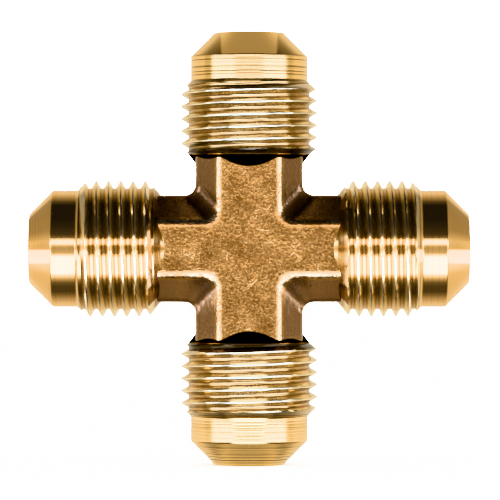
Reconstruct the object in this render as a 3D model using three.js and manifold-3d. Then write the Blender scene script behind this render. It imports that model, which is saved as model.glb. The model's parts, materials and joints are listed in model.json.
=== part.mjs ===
// Cross fitting for flared tube: one brass forging with four male 45 degree flare ends.
// Millimetres. The two flow ways cross at the origin: the run lies along X, the branch along Z.
// Every end is made standing on +Y, at its true distance from the crossing, and is then turned outwards.

import * as THREE from 'three';
import { mergeVertices } from 'three/addons/utils/BufferGeometryUtils.js';
import Module from 'manifold-3d';

const wasm = await Module();
wasm.setup();

// Overall reach, from the crossing of the flow ways to the rim of an end.
const RUN_REACH = 25.4;
const BRANCH_REACH = 24.95;

// Flow way, with a narrow flat rim left round its mouth.
const BORE_DIAMETER = 7.14;
const RIM_LAND = 0.43;

// Flare seat and plain nose: the nose is turned just under the thread's root, to clear a flare nut.
const SEAT_ANGLE = THREE.MathUtils.degToRad(45);
const NOSE_CLEARANCE = 0.28;
const NOSE_LENGTH = 2.8;

// Thread: a unified fine thread, five eighths of an inch across with 18 turns to the inch.
// The unified form makes it 0.6134 of its pitch deep, with a crest an eighth of its pitch wide.
const THREAD_MAJOR_DIAMETER = 15.8;
const THREAD_PITCH = 25.4 / 18;
const THREAD_DEPTH_IN_PITCHES = 0.6134;
const THREAD_CREST_IN_PITCHES = 0.125;
const THREAD_FLANK_ANGLE = THREE.MathUtils.degToRad(30);
const THREAD_CHAMFER_ANGLE = THREE.MathUtils.degToRad(45);

// Height of a crest over a whole number of pitches, straight above local +Z: it clocks the thread.
const RUN_THREAD_LEAD = 0.72;
const BRANCH_THREAD_LEAD = 1.22;

// Turned shoulder between the thread and the forged arm: its cone meets the thread's crests at
// SHOULDER_REACH, and its fillet dies into the arm just under the pads.
const SHOULDER_REACH = 11.6;
const SHOULDER_ANGLE = THREE.MathUtils.degToRad(50);
const SHOULDER_FILLET = 2.0;
const SHOULDER_SINK = 0.05;

// Forged hub: a cross with a flat pad front and back, and a sloping flank along every side.
const HUB_THICKNESS = 11.8;
const HUB_ARM_WIDTH = 12.35;
const HUB_SIDE_HEIGHT = 5.7;
const RUN_PAD_WIDTH = 6.05;
const BRANCH_PAD_WIDTH = 6.75;
const HUB_CORNER_RADIUS = 1.4;
const PAD_CORNER_RADIUS = 0.7;

// Fineness of the round shapes: points to a full turn, and to a fillet.
const ROUND_SEGMENTS = 32;
const FILLET_SEGMENTS = 5;

// How far a cutting bar runs past what it cuts, and how near two points are the same point.
const OVERCUT = 1;
const MERGE_DISTANCE = 1e-4;

// Sizes that follow from the ones above. The hub and the ends meet at neckReach.
const boreRadius = BORE_DIAMETER / 2;
const rimRadius = boreRadius + RIM_LAND;
const threadDepth = THREAD_DEPTH_IN_PITCHES * THREAD_PITCH;
const crestRadius = THREAD_MAJOR_DIAMETER / 2;
const rootRadius = crestRadius - threadDepth;
const noseRadius = rootRadius - NOSE_CLEARANCE;
const seatDepth = (noseRadius - rimRadius) / Math.tan(SEAT_ANGLE);
const neckReach = SHOULDER_REACH - threadDepth / Math.tan(SHOULDER_ANGLE);

// A closed geometry as a solid, with its shared points merged and its collapsed triangles dropped.
function toSolid(geometry) {
  geometry.deleteAttribute('normal');
  geometry.deleteAttribute('uv');
  const merged = mergeVertices(geometry, MERGE_DISTANCE);
  const corners = merged.index.array;
  const kept = [];
  for (let i = 0; i < corners.length; i += 3) {
    const [a, b, c] = corners.slice(i, i + 3);
    if (a !== b && b !== c && c !== a) kept.push(a, b, c);
  }
  const vertProperties = Float32Array.from(merged.attributes.position.array);
  const triVerts = Uint32Array.from(kept);
  return new wasm.Manifold(new wasm.Mesh({ numProp: 3, vertProperties, triVerts }));
}

function toGeometry(solid) {
  const mesh = solid.getMesh();
  const geometry = new THREE.BufferGeometry();
  geometry.setAttribute('position', new THREE.BufferAttribute(mesh.vertProperties, 3));
  geometry.setIndex(new THREE.BufferAttribute(mesh.triVerts, 1));
  return geometry;
}

// A turned shape round Y. The profile runs upwards on its outer side, so its faces point out.
function turned(points) {
  const profile = points.map(([radius, height]) => new THREE.Vector2(radius, height));
  return new THREE.LatheGeometry(profile, ROUND_SEGMENTS);
}

// A round bar on Y, for a bore.
function roundBar(radius, low, high) {
  return turned([[0, low], [radius, low], [radius, high], [0, high]]);
}

// Turns that bring +Y to each of the four ways out of the fitting.
const OUTWARD = {
  left: new THREE.Euler(0, 0, Math.PI / 2),
  right: new THREE.Euler(0, 0, -Math.PI / 2),
  upper: new THREE.Euler(Math.PI / 2, 0, 0),
  lower: new THREE.Euler(-Math.PI / 2, 0, 0),
};

function pointedOutwards(geometry, way) {
  return geometry.applyMatrix4(new THREE.Matrix4().makeRotationFromEuler(OUTWARD[way]));
}

// The thread's profile over its whole stretch, as rows of points that each climb with the helix.
function threadRows(low, high, lead) {
  const halfCrest = (THREAD_CREST_IN_PITCHES * THREAD_PITCH) / 2;
  const halfBase = halfCrest + threadDepth * Math.tan(THREAD_FLANK_ANGLE);
  const rows = [];
  const lastTurn = Math.ceil(high / THREAD_PITCH) + 1;
  for (let turn = Math.floor(low / THREAD_PITCH) - 2; turn <= lastTurn; turn++) {
    const middle = lead + turn * THREAD_PITCH;
    rows.push({ radius: rootRadius, height: middle - halfBase, climbs: true });
    rows.push({ radius: crestRadius, height: middle - halfCrest, climbs: true });
    rows.push({ radius: crestRadius, height: middle + halfCrest, climbs: true });
    rows.push({ radius: rootRadius, height: middle + halfBase, climbs: true });
  }
  return rows;
}

// The thread stays under a cone at the nose, and under the slope of the shoulder behind it.
function threadLimit(height, low, high) {
  const fromShoulder = (height - low) * Math.tan(SHOULDER_ANGLE);
  const fromNose = (high - height) * Math.tan(THREAD_CHAMFER_ANGLE);
  return rootRadius + Math.min(fromShoulder, fromNose);
}

// One flare end: a turned shape with its flow way, whose threaded rows climb one pitch in each turn.
function flareEnd(reach, lead) {
  const noseEnd = reach - seatDepth - NOSE_LENGTH;
  const threadEnd = noseEnd - NOSE_CLEARANCE / Math.tan(THREAD_CHAMFER_ANGLE);
  const rows = [
    { radius: boreRadius, height: neckReach },
    ...threadRows(neckReach, threadEnd, lead),
    { radius: noseRadius, height: noseEnd },
    { radius: noseRadius, height: reach - seatDepth },
    { radius: rimRadius, height: reach },
    { radius: boreRadius, height: reach },
    { radius: boreRadius, height: neckReach },
  ];
  const geometry = turned(rows.map(({ radius, height }) => [radius, height]));
  const place = geometry.attributes.position;
  for (let i = 0; i < place.count; i++) {
    const row = rows[i % rows.length];
    if (!row.climbs) continue;
    const turn = Math.floor(i / rows.length) / ROUND_SEGMENTS;
    const climbed = row.height + turn * THREAD_PITCH;
    const height = THREE.MathUtils.clamp(climbed, neckReach, threadEnd);
    const radius = Math.min(row.radius, threadLimit(height, neckReach, threadEnd));
    const angle = turn * 2 * Math.PI;
    place.setXYZ(i, radius * Math.sin(angle), height, radius * Math.cos(angle));
  }
  return toGeometry(toSolid(geometry));
}

// The outline of the cross seen from the front, with its four inner corners rounded.
function crossOutline(runWidth, branchWidth, cornerRadius) {
  const x = branchWidth / 2;
  const z = runWidth / 2;
  const quarter = [[neckReach, z], [x + cornerRadius, z], [x, z + cornerRadius], [x, neckReach]];
  const outline = new THREE.Shape();
  outline.moveTo(neckReach, -z);
  for (const [sideX, sideZ] of [[1, 1], [-1, 1], [-1, -1], [1, -1]]) {
    const path = quarter.map(([alongX, alongZ]) => new THREE.Vector2(sideX * alongX, sideZ * alongZ));
    if (sideX !== sideZ) path.reverse();
    const [start, bendStart, bendEnd, end] = path;
    outline.lineTo(start.x, start.y);
    outline.lineTo(bendStart.x, bendStart.y);
    outline.quadraticCurveTo(sideX * x, sideZ * z, bendEnd.x, bendEnd.y);
    outline.lineTo(end.x, end.y);
  }
  return outline.getPoints(FILLET_SEGMENTS).slice(0, -1);
}

// A solid through outlines with the same number of points, given from the front to the back.
function loft(levels) {
  const count = levels[0].outline.length;
  const vertices = levels.flatMap(({ depth, outline }) => outline.flatMap((p) => [p.x, depth, p.y]));
  const index = [];
  for (let level = 0; level < levels.length - 1; level++) {
    for (let i = 0; i < count; i++) {
      const near = level * count + i;
      const nearNext = level * count + (i + 1) % count;
      const far = near + count;
      const farNext = nearNext + count;
      index.push(near, far, nearNext, far, farNext, nearNext);
    }
  }
  const lastRing = (levels.length - 1) * count;
  for (const [a, b, c] of THREE.ShapeUtils.triangulateShape(levels[0].outline, [])) {
    index.push(a, b, c, lastRing + a, lastRing + c, lastRing + b);
  }
  const geometry = new THREE.BufferGeometry();
  geometry.setAttribute('position', new THREE.Float32BufferAttribute(vertices, 3));
  geometry.setIndex(index);
  return geometry;
}

// The cross as it comes from the dies: widest at mid height, with flanks sloping in to the two pads.
function forgedCross() {
  const pad = crossOutline(RUN_PAD_WIDTH, BRANCH_PAD_WIDTH, PAD_CORNER_RADIUS);
  const side = crossOutline(HUB_ARM_WIDTH, HUB_ARM_WIDTH, HUB_CORNER_RADIUS);
  return loft([
    { depth: -HUB_THICKNESS / 2, outline: pad },
    { depth: -HUB_SIDE_HEIGHT / 2, outline: side },
    { depth: HUB_SIDE_HEIGHT / 2, outline: side },
    { depth: HUB_THICKNESS / 2, outline: pad },
  ]);
}

// The turned shoulder round the end of an arm: a cone, then a hollow fillet that dies into the arm.
function shoulder() {
  const footRadius = Math.min(HUB_THICKNESS / 2, rootRadius) - SHOULDER_SINK;
  const wall = rootRadius - footRadius;
  const fillet = Math.min(SHOULDER_FILLET, wall / (1 - Math.cos(SHOULDER_ANGLE)));
  const footReach = neckReach - wall / Math.tan(SHOULDER_ANGLE);
  const filletStart = footReach - fillet * Math.tan(SHOULDER_ANGLE / 2);
  const profile = [[0, filletStart]];
  for (let i = 0; i <= FILLET_SEGMENTS; i++) {
    const angle = (SHOULDER_ANGLE * i) / FILLET_SEGMENTS;
    const radius = footRadius + fillet * (1 - Math.cos(angle));
    profile.push([radius, filletStart + fillet * Math.sin(angle)]);
  }
  profile.push([rootRadius, neckReach], [0, neckReach]);
  return turned(profile);
}

function forgedHub() {
  let hub = toSolid(forgedCross());
  for (const way of Object.keys(OUTWARD)) {
    hub = hub.add(toSolid(pointedOutwards(shoulder(), way)));
  }
  const bore = () => roundBar(boreRadius, -neckReach - OVERCUT, neckReach + OVERCUT);
  hub = hub.subtract(toSolid(pointedOutwards(bore(), 'right')));
  hub = hub.subtract(toSolid(pointedOutwards(bore(), 'upper')));
  return toGeometry(hub);
}

const forgedBrass = { color: '#b78648', roughness: 0.5, metalness: 1 };
const machinedBrass = { color: '#d6a253', roughness: 0.25, metalness: 1 };

function part(name, geometry, finish) {
  geometry.computeVertexNormals();
  const mesh = new THREE.Mesh(geometry, new THREE.MeshStandardMaterial(finish));
  mesh.name = name;
  return mesh;
}

const crossFitting = new THREE.Group();
crossFitting.add(part('forged_hub', forgedHub(), forgedBrass));

const ENDS = [
  ['left', RUN_REACH, RUN_THREAD_LEAD],
  ['right', RUN_REACH, RUN_THREAD_LEAD],
  ['upper', BRANCH_REACH, BRANCH_THREAD_LEAD],
  ['lower', BRANCH_REACH, BRANCH_THREAD_LEAD],
];
for (const [way, reach, lead] of ENDS) {
  const end = part(`${way}_flare_end`, flareEnd(reach, lead), machinedBrass);
  end.rotation.copy(OUTWARD[way]);
  crossFitting.add(end);
}

export default crossFitting;
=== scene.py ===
# %% [markdown]
# # A brass cross fitting, forged and turned
#
# The real thing is one piece of brass. It is struck hot between two dies, which gives the grainy
# four-way body, and its four ends are then turned and threaded for flare nuts. The CAD model holds
# it as five touching nodes: the forged body, and one for each machined end. Here every node is
# replaced by a finer mesh of the same size, because a thread seen this close needs to be round.

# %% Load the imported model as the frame
import json
import math

import bmesh
import bpy
from mathutils import Matrix, Vector, noise

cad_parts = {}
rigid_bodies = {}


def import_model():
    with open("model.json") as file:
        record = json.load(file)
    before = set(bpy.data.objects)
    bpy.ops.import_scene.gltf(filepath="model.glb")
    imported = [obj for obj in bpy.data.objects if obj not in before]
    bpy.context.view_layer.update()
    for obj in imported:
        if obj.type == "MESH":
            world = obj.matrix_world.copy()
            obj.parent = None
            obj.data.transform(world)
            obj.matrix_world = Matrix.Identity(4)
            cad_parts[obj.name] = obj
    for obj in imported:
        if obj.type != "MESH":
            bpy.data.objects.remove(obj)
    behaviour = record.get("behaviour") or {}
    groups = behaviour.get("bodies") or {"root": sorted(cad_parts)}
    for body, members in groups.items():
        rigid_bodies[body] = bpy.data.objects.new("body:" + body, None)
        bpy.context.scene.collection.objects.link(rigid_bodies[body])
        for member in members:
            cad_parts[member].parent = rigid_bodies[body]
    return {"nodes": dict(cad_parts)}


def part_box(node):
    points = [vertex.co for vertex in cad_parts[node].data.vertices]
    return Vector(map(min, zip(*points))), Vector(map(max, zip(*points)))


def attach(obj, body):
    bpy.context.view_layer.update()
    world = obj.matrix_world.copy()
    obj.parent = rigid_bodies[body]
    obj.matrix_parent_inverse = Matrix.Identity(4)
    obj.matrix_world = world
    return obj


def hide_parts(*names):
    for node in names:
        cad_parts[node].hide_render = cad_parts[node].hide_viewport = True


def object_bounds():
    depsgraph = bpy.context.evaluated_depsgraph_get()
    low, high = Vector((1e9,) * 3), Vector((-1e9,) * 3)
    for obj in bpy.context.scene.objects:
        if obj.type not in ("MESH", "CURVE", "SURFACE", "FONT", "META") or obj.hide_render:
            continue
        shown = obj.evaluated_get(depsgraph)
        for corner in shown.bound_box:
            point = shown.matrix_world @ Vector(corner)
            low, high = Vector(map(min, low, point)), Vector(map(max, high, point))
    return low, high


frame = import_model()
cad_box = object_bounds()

print("nodes:", sorted(frame["nodes"]))

# %% [markdown]
# ## Sizes
#
# The frame already knows where everything is, so the reach of each end, the thread's outside size
# and the plane where an end meets the body are read from the node boxes. Only what a box can't
# tell is written here, in millimetres: the bore, the rim, the nose, the thread's pitch, and the
# body's flats.

# %% Read the sizes from the frame
MM = 0.001
run_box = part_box("right_flare_end")
branch_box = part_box("upper_flare_end")
hub_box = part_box("forged_hub")
run_reach = run_box[1].x
branch_reach = branch_box[1].z
neck_reach = run_box[0].x
crest_radius = run_box[1].y
root_radius = hub_box[1].y
floor_height = cad_box[0].z
print("reach", run_reach, branch_reach, "neck", neck_reach, "crest", crest_radius, "root", root_radius)

# %% Write the sizes that the boxes can't tell
bore_radius = 3.57 * MM
rim_radius = 4.0 * MM
nose_radius = root_radius - 0.28 * MM
nose_length = 2.8 * MM
thread_pitch = 25.4 / 18 * MM
shoulder_angle = math.radians(50)
body_thickness = 11.8 * MM
arm_width = 12.35 * MM
run_pad_width = 6.05 * MM
branch_pad_width = 6.75 * MM
print("pitch mm", round(thread_pitch / MM, 3), "nose mm across", round(2 * nose_radius / MM, 2))

# %% [markdown]
# ## Small helpers
#
# An operator works on whatever is selected, and loading the frame leaves its nodes selected. So
# each piece starts from nothing selected, and `only` picks the one object that the next operator
# is for. `apply` adds a modifier and finishes it at once, as pressing Apply does. `close_up` welds
# the points that meet at a seam or a pole, and turns every face outwards.

# %% Selecting, editing and applying
weld_gap = 0.001 * MM


def only(obj):
    if bpy.context.object and bpy.context.object.mode != "OBJECT":
        bpy.ops.object.mode_set(mode="OBJECT")
    bpy.ops.object.select_all(action="DESELECT")
    obj.select_set(True)
    bpy.context.view_layer.objects.active = obj


def apply(obj, kind, **settings):
    only(obj)
    modifier = obj.modifiers.new(kind.title(), kind)
    for name, value in settings.items():
        setattr(modifier, name, value)
    bpy.ops.object.modifier_apply(modifier=modifier.name)


def edit_all(obj, select_by="VERT"):
    only(obj)
    bpy.ops.object.mode_set(mode="EDIT")
    bpy.ops.mesh.select_mode(type=select_by)
    bpy.ops.mesh.select_all(action="SELECT")


def close_up(obj):
    edit_all(obj)
    bpy.ops.mesh.remove_doubles(threshold=weld_gap)
    bpy.ops.mesh.dissolve_degenerate(threshold=weld_gap)
    bpy.ops.mesh.select_all(action="SELECT")
    bpy.ops.mesh.normals_make_consistent(inside=False)
    bpy.ops.object.mode_set(mode="OBJECT")


def report(obj):
    triangles = sum(len(face.vertices) - 2 for face in obj.data.polygons)
    print(obj.name, "triangles", triangles, "size mm", [round(side / MM, 2) for side in obj.dimensions])


# %% [markdown]
# ## The forged body: two bars
#
# The dies leave a cross of two bars, each with a flat pad front and back and a sloping flank along
# every side, so that the forging can leave the dies. It could be lofted from outlines, but two
# blocks with their long edges bevelled are what a pattern maker would cut, and they keep each
# width a plain number. The first bevel cuts the flanks and leaves them selected, so that a second
# one rounds all of their edges. The bars are a little too long, and are trimmed later.

# %% Cut a bar from a block
bar_half_length = neck_reach + 1 * MM
pad_plane = body_thickness / 2
edge_radius = 1.05 * MM
flank_turn = math.radians(45)


def eight_sided_bar(along, pad_width):
    """Cut a bar along X, which is axis 0, or along Z, which is axis 2."""
    size = [body_thickness] * 3
    size[along] = 2 * bar_half_length
    size[2 - along] = arm_width
    bpy.ops.object.select_all(action="DESELECT")
    bpy.ops.mesh.primitive_cube_add(size=1, scale=size)
    bar = bpy.context.object
    bpy.ops.object.transform_apply(scale=True)
    edit_all(bar, select_by="EDGE")
    bpy.ops.mesh.select_all(action="DESELECT")
    bpy.ops.object.mode_set(mode="OBJECT")
    for edge in bar.data.edges:
        one, other = [bar.data.vertices[i].co for i in edge.vertices]
        edge.select = abs(one[along] - other[along]) > bar_half_length
    bpy.ops.object.mode_set(mode="EDIT")
    bpy.ops.mesh.bevel(offset=(arm_width - pad_width) / 2, segments=1)
    bpy.ops.mesh.bevel(offset=edge_radius * math.tan(flank_turn / 2), segments=6)
    bpy.ops.object.mode_set(mode="OBJECT")
    return bar


# %% Cut both bars and join them
body = eight_sided_bar(0, run_pad_width)
branch_bar = eight_sided_bar(2, branch_pad_width)
apply(body, "BOOLEAN", operation="UNION", object=branch_bar, solver="EXACT")
bpy.data.objects.remove(branch_bar)
body.name = "forged_body"
report(body)

# %% [markdown]
# ## The forged body: die fillets
#
# Hot metal doesn't fill a sharp corner, so each of the four inner corners is a fillet, and so is
# each valley where a flank of one bar meets a flank of the other. All of these edges are hollow,
# so they are picked by the sign of the angle between their two faces, and are bevelled at once.

# %% Round the inner corners and the valleys between the flanks
corner_fillet = 1.25 * MM
edit_all(body)
bpy.ops.mesh.dissolve_limited(angle_limit=math.radians(1))
bpy.ops.mesh.select_mode(type="EDGE")
bpy.ops.mesh.select_all(action="DESELECT")
shape = bmesh.from_edit_mesh(body.data)
for edge in shape.edges:
    edge.select = edge.calc_face_angle_signed(0) < -math.radians(10)
bmesh.update_edit_mesh(body.data)
bpy.ops.mesh.bevel(offset=corner_fillet, offset_type="OFFSET", segments=6)
bpy.ops.object.mode_set(mode="OBJECT")
report(body)

# %% [markdown]
# ## The forged body: skin
#
# A voxel remesh gives the whole skin even faces, and smoothing rounds every edge at once. Then two
# cloud patterns lift and lower the skin by a few hundredths of a millimetre, as worn dies and scale
# do. Close to the shoulders the skin is left still, so that the trimmed ends stay true. `skin` is
# the group of points that says how far each one may move.

# %% Give the body its soft forged skin
apply(body, "REMESH", mode="VOXEL", voxel_size=0.16 * MM)
apply(body, "SMOOTH", factor=0.5, iterations=6)

still_from = 8.6 * MM
still_fade = 1.2 * MM
skin = body.vertex_groups.new(name="skin")
for vertex in body.data.vertices:
    inside = still_from - max(abs(vertex.co.x), abs(vertex.co.z))
    skin.add([vertex.index], min(max(inside / still_fade, 0), 1), "REPLACE")


def roughen(obj, name, size, depth):
    clouds = bpy.data.textures.new(name, "CLOUDS")
    clouds.noise_scale = size
    clouds.noise_depth = 2
    apply(obj, "DISPLACE", texture=clouds, strength=depth, mid_level=0.5, texture_coords="LOCAL",
          vertex_group="skin")


roughen(body, "die_wear", size=2.6 * MM, depth=0.06 * MM)
roughen(body, "scale_marks", size=0.6 * MM, depth=0.03 * MM)
report(body)

# %% [markdown]
# ## The forged body: trimming
#
# The pads run right up to the threads. So both bars are now trimmed flush with the plane where each
# end meets the body, by keeping only what lies inside a block of that size. It is what facing off
# the four arms does on a lathe.

# %% Trim the four arms flush
bpy.ops.object.select_all(action="DESELECT")
bpy.ops.mesh.primitive_cube_add(size=2, scale=(neck_reach, body_thickness, neck_reach))
frame_block = bpy.context.object
bpy.ops.object.transform_apply(scale=True)
apply(body, "BOOLEAN", operation="INTERSECT", object=frame_block, solver="MANIFOLD")
bpy.data.objects.remove(frame_block)
report(body)

# %% [markdown]
# ## Drawing a profile and spinning it
#
# Everything round on the real part is turned on a lathe, and the spin operator is Blender's lathe.
# A profile is drawn as a person would: one point, extruded from place to place. `soft_corners`
# gives a profile the small round edges that a tool leaves, each as a short curve.

# %% The lathe
ROUND_STEPS = 144


def soft_corners(points, bend, steps=4):
    path = [Vector(points[0])]
    for before, corner, after in zip(points, points[1:], points[2:]):
        before, corner, after = Vector(before), Vector(corner), Vector(after)
        start = corner + (before - corner).normalized() * min(bend, (before - corner).length / 2)
        end = corner + (after - corner).normalized() * min(bend, (after - corner).length / 2)
        for step in range(steps + 1):
            t = step / steps
            path.append(start * (1 - t) ** 2 + corner * 2 * t * (1 - t) + end * t ** 2)
    path.append(Vector(points[-1]))
    return path


def spun(name, points):
    bpy.ops.object.select_all(action="DESELECT")
    bpy.ops.mesh.primitive_plane_add(size=MM)
    obj = bpy.context.object
    obj.name = name
    edit_all(obj)
    bpy.ops.mesh.merge(type="CENTER")
    bpy.ops.transform.translate(value=(points[0][0], 0, points[0][1]))
    for start, end in zip(points, points[1:]):
        step = (end[0] - start[0], 0, end[1] - start[1])
        bpy.ops.mesh.extrude_vertices_move(TRANSFORM_OT_translate={"value": step})
    bpy.ops.mesh.select_all(action="SELECT")
    bpy.ops.mesh.spin(steps=ROUND_STEPS, angle=2 * math.pi, center=(0, 0, 0), axis=(0, 0, 1))
    close_up(obj)
    return obj


# %% [markdown]
# ## The turned shoulders
#
# Behind each thread the tool runs down a steep cone and leaves a hollow fillet that dies into the
# forged arm. Its edge against the rough forging is crisp, because it is cut. So the shoulder is
# spun after the forging is roughened, and joined to it. The run's shoulders have a wide fillet,
# and the branches' a small one and a cone that leans closer to the axis. The foot of each starts
# a little under the pads, so that the cut always runs into metal.

# %% Spin a shoulder for the run and one for the branches
fillet_steps = 12
foot_radius = pad_plane - 0.25 * MM
wall = root_radius - foot_radius


def spun_shoulder(fillet, slope):
    start = neck_reach - wall / math.tan(slope) - fillet * math.tan(slope / 2)
    profile = [(0, start)]
    for step in range(fillet_steps + 1):
        angle = slope * step / fillet_steps
        rise = fillet * (1 - math.cos(angle))
        profile.append((foot_radius + rise, start + fillet * math.sin(angle)))
    profile += [(root_radius, neck_reach), (0, neck_reach)]
    return spun("shoulder", profile)


run_shoulder = spun_shoulder(fillet=2.4 * MM, slope=shoulder_angle)
branch_shoulder = spun_shoulder(fillet=0.4 * MM, slope=shoulder_angle - math.radians(12))
report(run_shoulder)
report(branch_shoulder)

# %% Copy the shoulders to the four arms
RIGHT = Matrix.Rotation(math.radians(90), 4, "Y")
LEFT = Matrix.Rotation(math.radians(180), 4, "Z") @ RIGHT
UP = Matrix.Identity(4)
DOWN = Matrix.Rotation(math.radians(180), 4, "X")


def copy_of(obj, name, turn):
    twin = obj.copy()
    twin.data = obj.data.copy()
    twin.name = name
    bpy.context.collection.objects.link(twin)
    twin.data.transform(turn)
    return twin


run_shoulders = [copy_of(run_shoulder, "run_shoulder", turn) for turn in (LEFT, RIGHT)]
branch_shoulders = [copy_of(branch_shoulder, "branch_shoulder", turn) for turn in (UP, DOWN)]
bpy.data.objects.remove(run_shoulder)
bpy.data.objects.remove(branch_shoulder)
print("shoulders:", len(run_shoulders + branch_shoulders))

# %% [markdown]
# ## Joining the shoulders and boring the flow ways
#
# A boolean keeps the crisp edges that cutting leaves, and it carries the cutter's material to the
# faces that it makes. So the forging, the turned shoulders and the bored ways each bring their own
# finish to the joined body, and no mask has to be painted. The body needs a slot for every finish
# before the first cut, or that cut's faces would fall back to the forged one.

# %% Join the shoulders to the body
def slots_for(obj, *finishes):
    obj.data.materials.clear()
    for finish in finishes:
        obj.data.materials.append(bpy.data.materials.get(finish) or bpy.data.materials.new(finish))


def join_shoulders(obj, shoulders, finish):
    for shoulder in shoulders:
        slots_for(shoulder, finish)
        apply(obj, "BOOLEAN", operation="UNION", object=shoulder, solver="MANIFOLD")
        bpy.data.objects.remove(shoulder)


# The shoulders' finishes are painted darker than the ends, as painted shade.
slots_for(body, "forged_brass", "shoulder_brass_run", "shoulder_brass_branch", "bored_brass")
join_shoulders(body, run_shoulders, "shoulder_brass_run")
join_shoulders(body, branch_shoulders, "shoulder_brass_branch")
report(body)

# %% Bore both flow ways
drill_overrun = 1 * MM


def bore(obj, turn):
    bpy.ops.object.select_all(action="DESELECT")
    bpy.ops.mesh.primitive_cylinder_add(vertices=ROUND_STEPS, radius=bore_radius,
                                        depth=2 * (neck_reach + drill_overrun))
    drill = bpy.context.object
    drill.data.transform(turn)
    slots_for(drill, "bored_brass")
    apply(obj, "BOOLEAN", operation="DIFFERENCE", object=drill, solver="MANIFOLD")
    bpy.data.objects.remove(drill)


bore(body, RIGHT)
bore(body, UP)
report(body)
print("finishes on the body:", [slot.name for slot in body.data.materials])

# %% [markdown]
# ## A threaded flare end
#
# A screw modifier would wind a thread, but it stops dead at both ends, where a real thread fades
# out under a cone. So the end is made from a flat grid, as a sheet is rolled into a tube. Each row
# of the grid is one point of the profile. Plain rows close on themselves, and threaded rows climb
# one pitch in a turn, so that each one meets the row a pitch above it. The rows of a ridge lie
# closer together near its crest, which is round. A cone at the nose and the slope of the shoulder
# cap how far out a threaded row may stand. Merging the seam closes the skin.

# %% The thread's form
crest_room = 0.03 * MM
crest_round = 0.02 * MM
flank_top = 0.10 * MM
flank_slope = 1 / math.tan(math.radians(30))
tip = crest_radius - crest_room


def thread_radius(offset):
    """Radius of the thread at an offset along the axis from the middle of a ridge."""
    straight = tip - crest_round - (abs(offset) - flank_top) * flank_slope
    crown = tip - crest_round * (offset / flank_top) ** 2
    return max(root_radius, crown if abs(offset) < flank_top else straight)


half_pitch = thread_pitch / 2
ROW_OFFSETS = [-half_pitch * share for share in (1, 0.9, 0.8, 0.6, 0.4, 0.22, 0.13, 0.06)]
ROW_OFFSETS += [0] + [-offset for offset in reversed(ROW_OFFSETS[1:])]
print("thread rows to a pitch:", len(ROW_OFFSETS))

# %% The rows of an end, from its thread to its seat and back through the bore
rim_bevel = 0.15 * MM
tool_radius = 0.12 * MM


def end_rows(reach, lead):
    seat_start = reach - (nose_radius - rim_radius)
    nose_end = seat_start - nose_length
    thread_end = nose_end - (root_radius - nose_radius)
    rows = [(bore_radius, neck_reach, False)]
    for turn in range(int(neck_reach / thread_pitch) - 2, int(thread_end / thread_pitch) + 3):
        for offset in ROW_OFFSETS:
            rows.append((thread_radius(offset), lead + turn * thread_pitch + offset, True))
    nose = [
        (root_radius, thread_end),
        (nose_radius, nose_end),
        (nose_radius, seat_start),
        (rim_radius, reach),
        (bore_radius + rim_bevel, reach),
        (bore_radius, reach - rim_bevel),
        (bore_radius, neck_reach),
    ]
    rows += [(point[0], point[1], False) for point in soft_corners(nose, tool_radius)[1:]]
    return rows, thread_end


# %% [markdown]
# ## Wear and burrs on the crests
#
# A die leaves the crests of a brass thread slightly torn, and most of all at the first turns, where
# it starts to cut. So a crest moves in and out with a soft noise, and more so towards the nose. It
# never passes the thread's outside size, because a nut has to run over it.

# %% Wind one end from a sheet
crest_wear = 0.02 * MM
start_burr = 0.05 * MM
burr_reach = 1.6 * MM
burr_size = 0.9 * MM
worn_above = root_radius + 0.5 * MM


def on_thread(around, turn, radius, height, thread_end):
    """Place of a climbing row's point, after wear and under the two cones that end the thread."""
    height = min(max(height + turn * thread_pitch, neck_reach), thread_end)
    from_nose = thread_end - height
    from_shoulder = (height - neck_reach) * math.tan(shoulder_angle)
    if radius > worn_above:
        burr = crest_wear + start_burr * max(0, 1 - from_nose / burr_reach)
        wear = noise.noise((around * radius + Vector((0, 0, height))) / burr_size) * burr
        radius = min(radius + wear, crest_radius)
    radius = min(radius, root_radius + min(from_nose, from_shoulder))
    return around * radius + Vector((0, 0, height))


def wound_end(name, reach, lead):
    rows, thread_end = end_rows(reach, lead)
    bpy.ops.object.select_all(action="DESELECT")
    bpy.ops.mesh.primitive_grid_add(x_subdivisions=ROUND_STEPS, y_subdivisions=len(rows) - 1, size=1)
    end = bpy.context.object
    end.name = name
    for vertex in end.data.vertices:
        turn = vertex.co.x + 0.5
        radius, height, climbs = rows[round((vertex.co.y + 0.5) * (len(rows) - 1))]
        angle = 2 * math.pi * turn
        around = Vector((math.cos(angle), math.sin(angle), 0))
        if climbs:
            vertex.co = on_thread(around, turn, radius, height, thread_end)
        else:
            vertex.co = around * radius + Vector((0, 0, height))
    close_up(end)
    return end


# %% [markdown]
# ## Four ends
#
# The run's ends are a little longer than the branches'. Each kind is wound once and copied to the
# other side. Its lead slides the thread along the axis, and so sets where the crests stand.

# %% Make the run's end and the branch's end, and copy each to the other side
run_lead = 0.72 * MM - thread_pitch / 2
branch_lead = 1.22 * MM - 3 * thread_pitch / 4
run_end = wound_end("run_end", run_reach, run_lead)
branch_end = wound_end("branch_end", branch_reach, branch_lead)
ends = {
    "right": copy_of(run_end, "right_threaded_end", RIGHT),
    "left": copy_of(run_end, "left_threaded_end", LEFT),
    "upper": copy_of(branch_end, "upper_threaded_end", UP),
    "lower": copy_of(branch_end, "lower_threaded_end", DOWN),
}
bpy.data.objects.remove(run_end)
bpy.data.objects.remove(branch_end)
for way, end in ends.items():
    slots_for(end, "turned_brass_run" if way in ("left", "right") else "turned_brass_branch")
    report(end)

# %% [markdown]
# ## Colours and nodes
#
# Colours are written as the hex values that a paint chart gives, and one function turns them into
# the linear values that light is added up in. `add` puts one node in a material, with its settings,
# its inputs and a ramp's stops. An input may be a number, a colour or another node's output.

# %% Colour and node helpers
BLACK = (0, 0, 0, 1)
WHITE = (1, 1, 1, 1)


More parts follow.
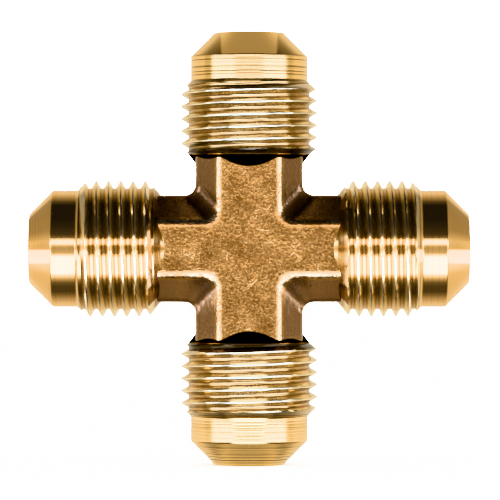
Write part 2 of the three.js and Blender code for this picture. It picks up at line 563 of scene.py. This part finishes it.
def linear(hex_colour):
    channels = [int(hex_colour[i:i + 2], 16) / 255 for i in (1, 3, 5)]
    flat = [c / 12.92 if c <= 0.04045 else ((c + 0.055) / 1.055) ** 2.4 for c in channels]
    return (*flat, 1)


def add(tree, kind, inputs=None, stops=(), **settings):
    node = tree.nodes.new("ShaderNode" + kind)
    for name, value in settings.items():
        setattr(node, name, value)
    for name, value in (inputs or {}).items():
        if isinstance(value, bpy.types.NodeSocket):
            tree.links.new(value, node.inputs[name])
        else:
            node.inputs[name].default_value = value
    for number, (position, colour) in enumerate(stops):
        if number > 1:
            node.color_ramp.elements.new(position)
        node.color_ramp.elements[number].position = position
        node.color_ramp.elements[number].color = colour
    return node


def start(name):
    """Clear a material's nodes. Return its tree, and the output that gives a point's place."""
    material = bpy.data.materials.get(name) or bpy.data.materials.new(name)
    material.use_nodes = True
    material.node_tree.nodes.clear()
    return material.node_tree, add(material.node_tree, "TexCoord").outputs["Object"]


def finish_metal(tree, inputs):
    shader = add(tree, "BsdfPrincipled", {"Metallic": 1, **inputs})
    add(tree, "OutputMaterial", {"Surface": shader.outputs[0]})


# %% [markdown]
# ## Forging brass, as it leaves the dies
#
# The body is hot-stamped forging brass, pickled and tumbled. The dies and the scale leave a fine
# pebbly grain, about a quarter of a millimetre across, over softer clouds of two or three
# millimetres, and between them the metal is half bright. So the eye sees a warm brown gold, with
# small sparks where a grain tilts towards the light. Real grain is finer still, and is drawn this
# coarse so that it shows.

# %% Grain and clouds
grain_size = 0.26 * MM
cloud_size = 2.4 * MM


def forged_grain(tree, place):
    """The grain, the clouds, and their mean, which mottles the metal."""
    grain = add(tree, "TexNoise", {
        "Vector": place,
        "Scale": 1 / grain_size,
        "Detail": 4,
        "Distortion": 0.6,
    })
    cloud = add(tree, "TexNoise", {"Vector": place, "Scale": 1 / cloud_size, "Detail": 4})
    mottle = add(tree, "Mix", {
        0: 0.5,
        2: grain.outputs["Fac"],
        3: cloud.outputs["Fac"],
    }, data_type="FLOAT")
    return grain.outputs["Fac"], cloud.outputs["Fac"], mottle.outputs[0]


# %% [markdown]
# ## Forging brass: pads, flanks in painted shade, and edges with a painted highlight
#
# The sloping flanks are painted a duller brown than the pads, as painted shade. The round edges of
# the pads wear bright in patches, and their pale colour is partly that wear and partly a painted
# highlight. A point's depth below the pad tells which of these it is on.

# %% Zones by depth below the pads
rubbed_depths = (0.7 * MM, 0.25 * MM)
worn_depths = (0.36 * MM, 0.05 * MM)
worn_mottle = (0.44, 0.56)


def forged_zones(tree, place, mottle):
    """Share of pad against flank in painted shade, and of edge with wear and painted highlight."""
    parts = add(tree, "SeparateXYZ", {"Vector": place})
    height = add(tree, "Math", {0: parts.outputs["Y"]}, operation="ABSOLUTE")
    rubbed, edge = [add(tree, "MapRange", {
        "Value": height.outputs[0],
        "From Min": pad_plane - deep,
        "From Max": pad_plane - shallow,
    }) for deep, shallow in (rubbed_depths, worn_depths)]
    band = add(tree, "ValToRGB", {"Fac": edge.outputs[0]},
               stops=[(0, BLACK), (0.35, WHITE), (0.65, WHITE), (1, BLACK)])
    patchy = add(tree, "MapRange", {
        "Value": mottle,
        "From Min": worn_mottle[0],
        "From Max": worn_mottle[1],
    })
    worn = add(tree, "Math", {0: band.outputs["Color"], 1: patchy.outputs[0]}, operation="MULTIPLY")
    return rubbed.outputs[0], worn.outputs[0]


# %% [markdown]
# ## Forging brass: nicks
#
# A tumbled pad also carries a few short bright nicks. A soft noise passes its middle value along
# wandering lines, so a narrow band round that value draws thin lines. They are kept only in the
# lightest clouds, which cuts them short, and only on the pads.

# %% Short bright nicks
nick_spacing = 1.6 * MM
nick_band = (0.01, 0.002)
nick_clouds = (0.6, 0.64)


def nick_lines(tree, place, cloud, rubbed):
    line = add(tree, "TexNoise", {"Vector": place, "Scale": 1 / nick_spacing, "Detail": 1})
    offset = add(tree, "Math", {0: line.outputs["Fac"], 1: 0.5}, operation="SUBTRACT")
    aside = add(tree, "Math", {0: offset.outputs[0]}, operation="ABSOLUTE")
    thin, few = [add(tree, "MapRange", {
        "Value": value,
        "From Min": none,
        "From Max": full,
    }) for value, (none, full) in ((aside.outputs[0], nick_band), (cloud, nick_clouds))]
    short = add(tree, "Math", {0: thin.outputs[0], 1: few.outputs[0]}, operation="MULTIPLY")
    nicks = add(tree, "Math", {0: short.outputs[0], 1: rubbed}, operation="MULTIPLY")
    return nicks.outputs[0]


# %% [markdown]
# ## Forging brass: colour, gloss and relief
#
# The colours are laid over one another: mottled metal, the flanks' painted shade, the worn edges
# with their painted highlight, then the nicks. Three bumps stack up the relief, from the pebbly
# grain to a sandy tooth and the raised lips of the nicks.

# %% Forged brass
sand_size = 0.16 * MM
pebble_height = 0.024 * MM
tooth_height = 0.006 * MM
lip_height = 0.004 * MM


def forged_colour(tree, mottle, rubbed, worn, nicks):
    metal = add(tree, "ValToRGB", {"Fac": mottle},
                stops=[(0.38, linear("#886239")), (0.64, linear("#c0925b"))])
    colour = metal.outputs["Color"]
    # The flanks' duller brown is painted shade.
    scale = linear("#826850")
    colour = add(tree, "Mix", {0: rubbed, 6: scale, 7: colour}, data_type="RGBA").outputs[2]
    # The edges' pale colour is partly wear and partly a painted highlight.
    for amount, bright in [(worn, "#f4dcb0"), (nicks, "#dbb276")]:
        layer = add(tree, "Mix", {0: amount, 6: colour, 7: linear(bright)}, data_type="RGBA")
        colour = layer.outputs[2]
    return colour


def forged_relief(tree, place, grain, nicks):
    sand = add(tree, "TexNoise", {"Vector": place, "Scale": 1 / sand_size, "Detail": 2})
    pebbles = add(tree, "Bump", {"Height": grain, "Distance": pebble_height})
    tooth = add(tree, "Bump", {
        "Height": sand.outputs["Fac"],
        "Distance": tooth_height,
        "Normal": pebbles.outputs["Normal"],
    })
    lips = add(tree, "Bump", {
        "Height": nicks,
        "Distance": lip_height,
        "Normal": tooth.outputs["Normal"],
    })
    return lips.outputs["Normal"]


def forged_brass(name):
    tree, place = start(name)
    grain, cloud, mottle = forged_grain(tree, place)
    rubbed, worn = forged_zones(tree, place, mottle)
    nicks = nick_lines(tree, place, cloud, rubbed)
    gloss = add(tree, "MapRange", {"Value": grain, "To Min": 0.12, "To Max": 0.24})
    finish_metal(tree, {
        "Base Color": forged_colour(tree, mottle, rubbed, worn, nicks),
        "Roughness": gloss.outputs["Result"],
        "Normal": forged_relief(tree, place, grain, nicks),
    })
    print(name, "nodes", len(tree.nodes))


forged_brass("forged_brass")

# %% [markdown]
# ## Turned brass: tool rings
#
# The ends are cut from the same brass with a keen tool, so they are bright. Each pass of the tool
# leaves rings round the axis, from a few thousandths to a few hundredths of a millimetre deep. They
# smear a reflection along the axis, which is why a turned nose shows one long soft streak, and
# where the tool tears rather than cuts, a ring is duller. The rings are drawn a third of a
# millimetre apart, coarser than real ones, so that they show. They go by the sum of the place along
# the axis and the distance from it, so that a flat rim has rings too.

# %% Places and rings on a turned part
ring_spacing = 0.34 * MM


def turned_place(tree, place, axis):
    """The distance of a point from the turning axis, and its place along it."""
    parts = add(tree, "SeparateXYZ", {"Vector": place})
    others = [parts.outputs[letter] for letter in "XYZ" if letter != axis]
    one, other = [add(tree, "Math", {0: out, 1: 2}, operation="POWER") for out in others]
    total = add(tree, "Math", {0: one.outputs[0], 1: other.outputs[0]}, operation="ADD")
    radius = add(tree, "Math", {0: total.outputs[0]}, operation="SQRT")
    return radius.outputs[0], parts.outputs[axis]


def tool_rings(tree, radius, along):
    travel = add(tree, "Math", {0: along, 1: radius}, operation="ADD")
    rings = add(tree, "TexNoise", {
        "W": travel.outputs[0],
        "Scale": 1 / ring_spacing,
        "Detail": 3,
    }, noise_dimensions="1D")
    return rings.outputs[0]


# %% [markdown]
# ## Turned brass: the thread
#
# The root of a thread is painted darker than its flanks, as painted shade, and the flanks and
# crests are painted paler, as painted light, so that light bounced between the flanks stays a pale
# brass. Only the distance from the axis matters, so a ramp over it colours every turn alike. The
# ramp starts just under the root, and everything further in, such as the nose and the bore, keeps
# the colour of the rings.

# %% Colour by depth in the thread
thread_floor = root_radius - 0.06 * MM
# Darker stops at the root are painted shade, and paler ones above it are painted light.
THREAD_SHADES = [
    (0, "#f3c987"), (0.05, "#bc9c6c"), (0.14, "#c4a678"), (0.3, "#eed8ae"), (1, "#f2e2c2"),
]


def thread_colour(tree, radius, light):
    depth = add(tree, "MapRange", {
        "Value": radius,
        "From Min": thread_floor,
        "From Max": crest_radius,
    })
    groove = add(tree, "ValToRGB", {"Fac": depth.outputs[0]},
                 stops=[(height, linear(shade)) for height, shade in THREAD_SHADES])
    # A factor below one dims the groove colour, as painted shade.
    shaded = add(tree, "Mix", {
        0: 1.0,
        6: groove.outputs["Color"],
        7: (light, light, light, 1),
    }, data_type="RGBA", blend_type="MULTIPLY")
    return shaded.outputs[2]


# %% [markdown]
# ## Turned brass: painted shade and finish
#
# The foot of the branches' threads is painted dark, and their shoulders nearly black: painted shade.
# The run's shoulders are painted a duller brown, a milder painted shade. A dark metal still flashes
# at a grazing angle, so the branches' shoulders also have their edge tint taken away. Roughness is
# low and drifts a little, as the tool dulls, and the anisotropy stands for rings too fine to draw:
# it stretches every reflection along the axis.

# %% Turned brass
stain_reaches = (neck_reach + 0.9 * MM, neck_reach + 0.5 * MM)
smear_size = 1.6 * MM


# Darkens the foot of a thread next to the body, as painted shade.
def stained(tree, along, colour, stain):
    reach = add(tree, "Math", {0: along}, operation="ABSOLUTE")
    oily = add(tree, "MapRange", {
        "Value": reach.outputs[0],
        "From Min": stain_reaches[0],
        "From Max": stain_reaches[1],
        "To Max": stain,
    })
    dark = add(tree, "Mix", {0: oily.outputs[0], 6: colour, 7: linear("#17100a")}, data_type="RGBA")
    return dark.outputs[2]


def turned_colour(tree, radius, rings, dull, bright, groove_light):
    tint = add(tree, "ValToRGB", {"Fac": rings}, stops=[(0.38, linear(dull)), (0.5, linear(bright))])
    threaded = add(tree, "Math", {0: radius, 1: thread_floor}, operation="GREATER_THAN")
    colour = add(tree, "Mix", {
        0: threaded.outputs[0],
        6: tint.outputs["Color"],
        7: thread_colour(tree, radius, groove_light),
    }, data_type="RGBA")
    return colour.outputs[2]


def turned_brass(name, axis, ring_depth, dull="#f0c483", bright="#f6cd90", stain=0.0,
                 edge=1.0, groove_light=1.0):
    tree, place = start(name)
    radius, along = turned_place(tree, place, axis)
    rings = tool_rings(tree, radius, along)
    colour = turned_colour(tree, radius, rings, dull, bright, groove_light)
    smear = add(tree, "TexNoise", {"Vector": place, "Scale": 1 / smear_size, "Detail": 3})
    gloss = add(tree, "MapRange", {"Value": smear.outputs["Fac"], "To Min": 0.09, "To Max": 0.15})
    cut = add(tree, "Bump", {"Height": rings, "Distance": ring_depth})
    around = add(tree, "Tangent", direction_type="RADIAL", axis=axis)
    finish_metal(tree, {
        "Base Color": stained(tree, along, colour, stain),
        "Roughness": gloss.outputs["Result"],
        "Normal": cut.outputs["Normal"],
        "Tangent": around.outputs[0],
        "Specular Tint": (edge, edge, edge, 1),
        "Anisotropic": 0.7,
        "Anisotropic Rotation": 0.25,
    })
    print(name, "nodes", len(tree.nodes))


turned_brass("turned_brass_run", "X", 0.003 * MM)
# The branches' thread grooves are dimmed, as painted shade.
turned_brass("turned_brass_branch", "Z", 0.05 * MM, "#957d50", "#f8d292", stain=0.93,
             groove_light=0.7)
# Both shoulders are painted darker than the ends, as painted shade, and the branches' nearly black.
turned_brass("shoulder_brass_run", "X", 0.01 * MM, "#8c7048", "#a48658")
turned_brass("shoulder_brass_branch", "Z", 0.01 * MM, "#0d0906", "#17100a", edge=0.0)
turned_brass("bored_brass", "X", 0.004 * MM)

# %% [markdown]
# ## Shading and the frame
#
# Smooth shading by angle keeps the cut edges sharp and lets the round stretches flow. Each piece
# then rides on the one body that the fitting has, and stands for its CAD node.

# %% Shade, ride and replace
pieces = [(body, "forged_hub", "forged_brass")]
pieces += [(end, way + "_flare_end", "machined_brass") for way, end in ends.items()]
for piece, node, finish in pieces:
    only(piece)
    bpy.ops.object.shade_smooth_by_angle(angle=math.radians(35))
    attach(piece, "root")
    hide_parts(node)
    print(piece.name, "stands for", node)

# %% [markdown]
# ## The light tent
#
# Polished brass shows its surroundings more than itself. A studio shoots it in a tent: bright card
# below the lens, thin strips of it near the height of the lens, dimmer card behind the fitting, and
# black cloth overhead, which draws the dark bands. The tent is painted on the world in four parts,
# each a list of angles in degrees with the light that comes from there. TENT goes right round the
# run's axis: 0 looks back at the lens, 90 is straight up, and 180 is behind the fitting. It lights
# the run. FRONT and BEHIND light the branches, from either side of the lens and from either side of
# the fitting, and SIDES is the card at the two ends of the run. These three go by height, from -90
# straight down to 90 straight up.

# %% The tent's bands of light
TENT = [
    (-180, 1.15), (-140, 1.0), (-120, 0.6), (-104, 0.22), (-95, 0.08), (-80, 0.08), (-70, 0.18),
    (-60, 0.8), (-54, 3.5), (-48, 11.0), (-18, 11.0), (-13, 4.0), (-10, 0.7), (0, 0.55), (6.5, 0.6),
    (8.5, 3.0), (10, 7.0), (16, 7.0), (18, 2.0), (20, 0.2), (28, 0.05), (45, 0.02), (60, 0.006),
    (96, 0.006), (106, 0.08), (120, 0.45), (140, 1.0), (180, 1.15),
]
FRONT = [
    (-90, 0.1), (-40, 0.3), (-22, 0.5), (-16, 1.0), (-12, 8.0), (-8, 11.0), (-4, 4.0), (0, 1.8),
    (4, 4.0), (8, 11.0), (12, 1.5), (20, 0.15), (40, 0.03), (90, 0.01),
]
BEHIND = [
    (-90, 0.3), (-45, 0.3), (-34, 0.8), (-24, 1.1), (-18, 3.0), (-12, 3.0), (-8, 1.5), (5, 1.5),
    (10, 0.8), (18, 0.45), (30, 0.42), (45, 0.12), (90, 0.1),
]
SIDES = [
    (-90, 0.5), (-60, 0.7), (-30, 0.7), (-10, 0.8), (10, 0.8), (30, 0.6), (60, 0.8), (90, 0.2),
]
print("bands:", len(TENT), len(FRONT), len(BEHIND), len(SIDES))

# %% [markdown]
# ## Painting the tent
#
# A ramp holds one part's bands. Dim card is warm and bright card is cool, because the brass warms
# whatever it reflects, and a little stray light keeps the dark cloth from going quite black. Where
# two parts meet, one fades into the other as the direction turns.

# %% Turn bands into a ramp
TENT_PEAK = 11.0
WARM_CARD = Vector((1.0, 0.85, 0.58))
COOL_CARD = Vector((0.92, 1.2, 1.8))
STRAY_LIGHT = Vector((0.024, 0.03, 0.055))
cooling = 1.5


def banded(tree, angle, bands):
    """Colour by angle, as a ramp over the whole turn or half turn that the bands cover."""
    low, high = bands[0][0], bands[-1][0]
    share = add(tree, "MapRange", {
        "Value": angle,
        "From Min": math.radians(low),
        "From Max": math.radians(high),
    })
    stops = []
    for degrees, light in bands:
        glow = light / TENT_PEAK
        card = WARM_CARD.lerp(COOL_CARD, glow ** cooling) * glow + STRAY_LIGHT / TENT_PEAK
        stops.append(((degrees - low) / (high - low), (*card, 1)))
    return add(tree, "ValToRGB", {"Fac": share.outputs[0]}, stops=stops).outputs["Color"]


def faded(tree, measure, limits, before, after):
    """Fade from one part of the tent to another while a measure goes between two limits."""
    share = add(tree, "MapRange", {"Value": measure, "From Min": limits[0], "From Max": limits[1]})
    fade = add(tree, "Mix", {0: share.outputs[0], 6: before, 7: after}, data_type="RGBA")
    return fade.outputs[2]


# %% Paint the tent on the world
front_fade = (0.3, 0.15)
upright_fade = (0.42, 0.55)
sides_fade = (0.975, 0.995)

world = bpy.data.worlds.new("tent")
bpy.context.scene.world = world
world.use_nodes = True
tree = world.node_tree
tree.nodes.clear()
way = add(tree, "SeparateXYZ", {"Vector": add(tree, "TexCoord").outputs["Generated"]})
toward = add(tree, "Math", {0: way.outputs["Y"], 1: -1.0}, operation="MULTIPLY").outputs[0]
sideways = add(tree, "Math", {0: way.outputs["X"]}, operation="ABSOLUTE").outputs[0]
round_run = add(tree, "Math", {0: way.outputs["Z"], 1: toward}, operation="ARCTAN2").outputs[0]
height = add(tree, "Math", {0: way.outputs["Z"]}, operation="ARCSINE").outputs[0]

upright = faded(tree, toward, front_fade, banded(tree, height, FRONT), banded(tree, height, BEHIND))
tent = faded(tree, sideways, upright_fade, banded(tree, round_run, TENT), upright)
tent = faded(tree, sideways, sides_fade, tent, banded(tree, height, SIDES))
print("tent nodes:", len(tree.nodes))

# %% [markdown]
# ## Backdrop
#
# The lens itself would see the tent's bands behind the fitting, so a ray that comes straight from
# it meets plain bright white card instead.

# %% Show the lens a plain white backdrop
backdrop_light = 30
card = add(tree, "Background", {"Color": tent, "Strength": TENT_PEAK})
seen = add(tree, "Background", {"Color": WHITE, "Strength": backdrop_light})
ray = add(tree, "LightPath").outputs["Is Camera Ray"]
both = add(tree, "MixShader", {0: ray, 1: card.outputs[0], 2: seen.outputs[0]})
add(tree, "OutputWorld", {"Surface": both.outputs[0]})
print("world:", world.name)

# %% [markdown]
# ## Floor
#
# The floor is plain white and lit from straight above by a wide soft lamp, so the fitting keeps a
# faint shadow where it stands. Only the lens sees the floor: reflections look through it to the
# tent, as if the fitting stood on glass.

# %% Floor
floor_side = 6
bpy.ops.object.select_all(action="DESELECT")
bpy.ops.mesh.primitive_plane_add(size=floor_side, location=(0, 0, floor_height))
floor = bpy.context.object
floor.name = "floor"
bpy.ops.object.transform_apply(location=True)
material = bpy.data.materials.new("white_card")
material.use_nodes = True
tree = material.node_tree
tree.nodes.clear()
paper = add(tree, "BsdfDiffuse", {"Color": (0.9, 0.9, 0.9, 1)})
clear = add(tree, "BsdfTransparent")
ray = add(tree, "LightPath").outputs["Is Camera Ray"]
both = add(tree, "MixShader", {0: ray, 1: clear.outputs[0], 2: paper.outputs[0]})
add(tree, "OutputMaterial", {"Surface": both.outputs[0]})
floor.data.materials.append(material)
print("floor at mm", round(floor_height / MM, 2))

# %% Lamp over the floor
bpy.ops.object.light_add(type="SUN", location=(0, 0, 1))
lamp = bpy.context.object
lamp.name = "overhead_lamp"
lamp.data.energy = 60
lamp.data.angle = math.radians(100)
lamp.visible_glossy = False
print("lamp strength", lamp.data.energy)

# %% [markdown]
# ## Small cards
#
# The cones at the four ends look away from the tent, so each has a small card of its own a few
# millimetres off: bright strips at the two sides, dull ones above and below. Two more lie under
# the run, and lift its lower flanks out of the dark.

# %% Hang the small cards
end_gap = 7 * MM
card_colour = (1, 0.85, 0.6)


def small_card(direction, away, centre, size, light):
    """Hang a card away from a centre, facing back at it. Its light is on the tent's own scale."""
    bpy.ops.object.light_add(type="AREA", location=Vector(direction) * away + Vector(centre))
    card = bpy.context.object
    card.name = "small_card"
    card.rotation_euler = Vector(direction).to_track_quat("Z", "Y").to_euler()
    card.data.shape = "RECTANGLE"
    card.data.size, card.data.size_y = size
    card.data.energy = light * math.pi * size[0] * size[1]
    card.data.color = card_colour
    card.visible_camera = False
    card.visible_diffuse = False
    print("card", direction, "watts", round(card.data.energy, 5))


for side in (-1, 1):
    small_card((0, 0, -1), away=10.6 * MM, centre=(side * 8.9 * MM, -4.6 * MM, 0),
               size=(4.4 * MM, 3.6 * MM), light=0.7)
    small_card((side, 0, 0), away=run_reach + end_gap, centre=(0, -4 * MM, -2.3 * MM),
               size=(8 * MM, 3.8 * MM), light=10)
    small_card((0, 0, side), away=branch_reach + end_gap, centre=(0, 0, 0),
               size=(16 * MM, 16 * MM), light=0.5)

# %% [markdown]
# ## Camera
#
# The lens is long and stands nearly half a metre away, straight in front of the fitting. It is set
# a hair off its middle, to the right and low, to centre the view.

# %% Camera
camera_distance = 450 * MM
camera_right = 0.1 * MM
camera_up = -0.15 * MM
view_width = 57.8 * MM
sensor_width = 36
bpy.ops.object.camera_add(location=(camera_right, -camera_distance, camera_up), rotation=(math.pi / 2, 0, 0))
camera = bpy.context.object
camera.data.sensor_width = sensor_width
camera.data.lens = sensor_width * camera_distance / view_width
camera.data.clip_start = 0.05
camera.data.clip_end = 10
bpy.context.scene.camera = camera
bpy.context.scene.view_settings.view_transform = "Khronos PBR Neutral"
print("lens mm", round(camera.data.lens))
